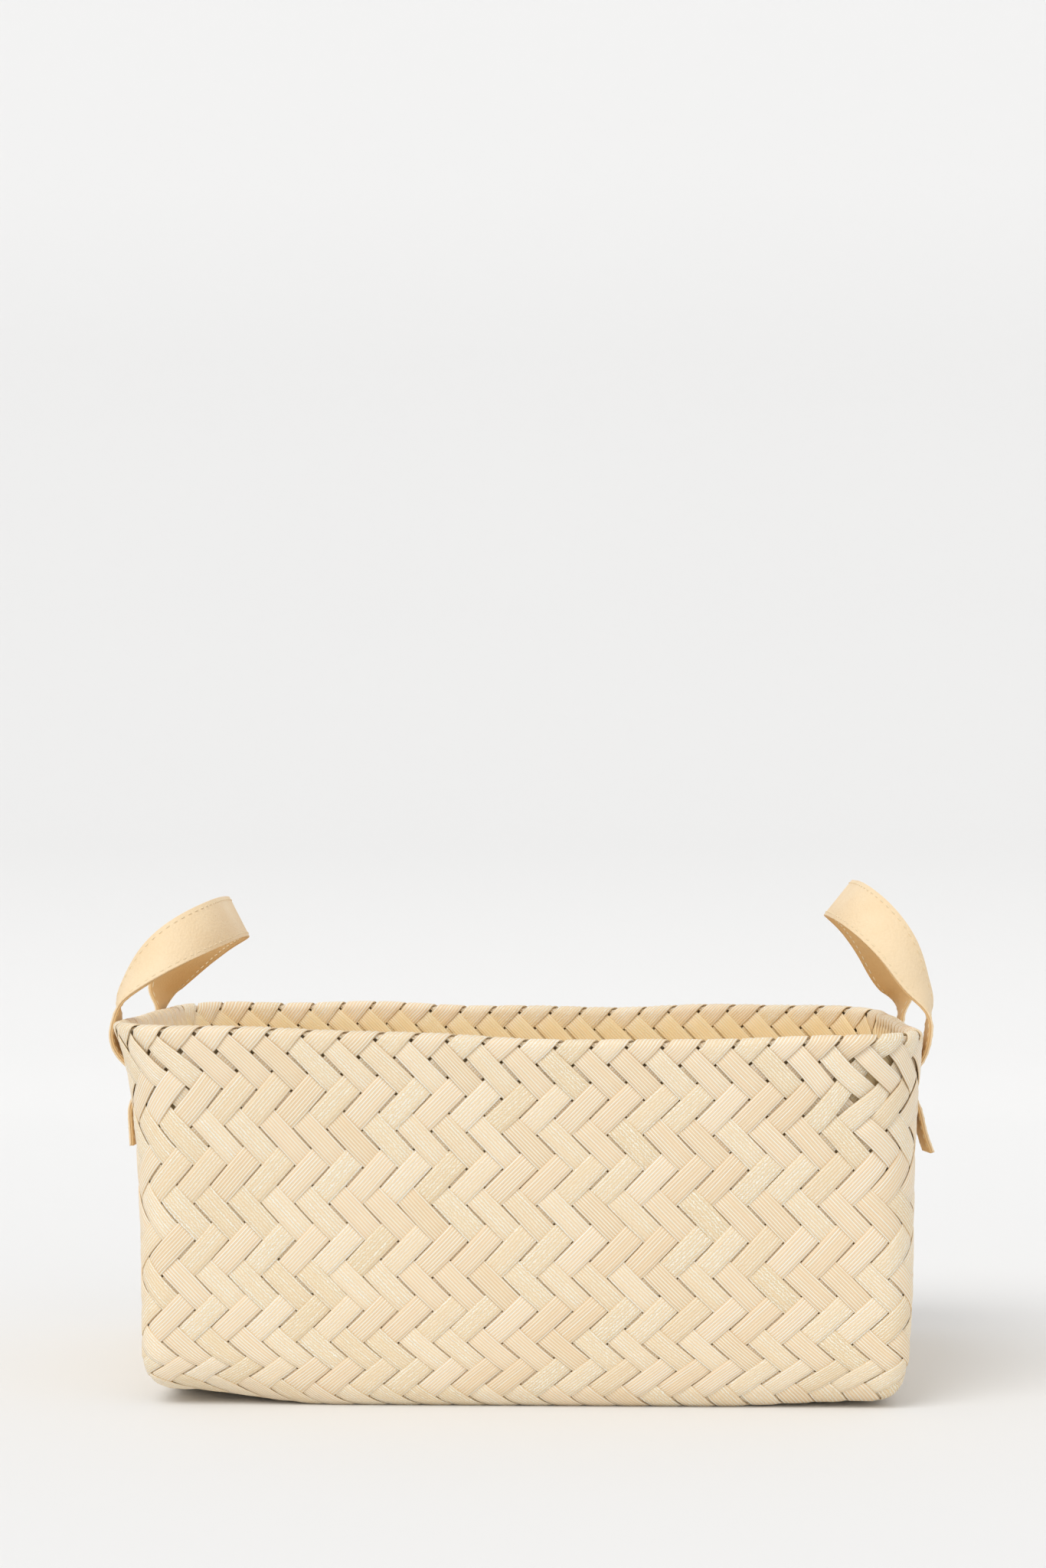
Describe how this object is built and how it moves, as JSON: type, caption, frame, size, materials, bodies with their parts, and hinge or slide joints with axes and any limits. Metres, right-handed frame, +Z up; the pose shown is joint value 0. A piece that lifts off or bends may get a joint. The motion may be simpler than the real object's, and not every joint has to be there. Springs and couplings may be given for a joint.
{
  "type": "woven storage basket",
  "caption": "Open-topped rectangular storage basket plaited from flat ribbed strips, with a stitched leather strap handle at each end.",
  "frame": {"origin": "middle of the underside of the base", "axes": "+X to the right along the long side, +Y to the back, +Z up"},
  "size_m": [0.4631, 0.314, 0.2831],
  "materials": {
    "plaited_strip": "cream ribbed strip, satin",
    "strap_leather": "light tan pebble grain, matte",
    "strap_lining": "warm tan, smooth matte",
    "thread": "cream sewing thread"
  },
  "bodies": {
    "basket": {"woven_base": "plaited_strip", "woven_front_wall": "plaited_strip", "woven_back_wall": "plaited_strip", "woven_left_wall": "plaited_strip", "woven_right_wall": "plaited_strip", "woven_front_left_corner": "plaited_strip", "woven_front_right_corner": "plaited_strip", "woven_back_right_corner": "plaited_strip", "woven_back_left_corner": "plaited_strip", "woven_inner_ply": "plaited_strip", "left_front_strap_end": "strap_leather", "left_rear_strap_end": "strap_leather", "right_front_strap_end": "strap_leather", "right_rear_strap_end": "strap_leather"},
    "left_handle": {"left_handle_outer_leather": "strap_leather", "left_handle_lining": "strap_lining", "left_handle_stitching": "thread"},
    "right_handle": {"right_handle_outer_leather": "strap_leather", "right_handle_lining": "strap_lining", "right_handle_stitching": "thread"}
  },
  "joints": [
    {"name": "left_handle_swing", "type": "hinge", "parent": "basket", "child": "left_handle", "pos_m": [-0.2285, 0, 0.205], "axis": [0, 1, 0], "range_deg": [-130, 42]},
    {"name": "right_handle_swing", "type": "hinge", "parent": "basket", "child": "right_handle", "pos_m": [0.2285, 0, 0.205], "axis": [0, -1, 0], "range_deg": [-130, 42]}
  ]
}
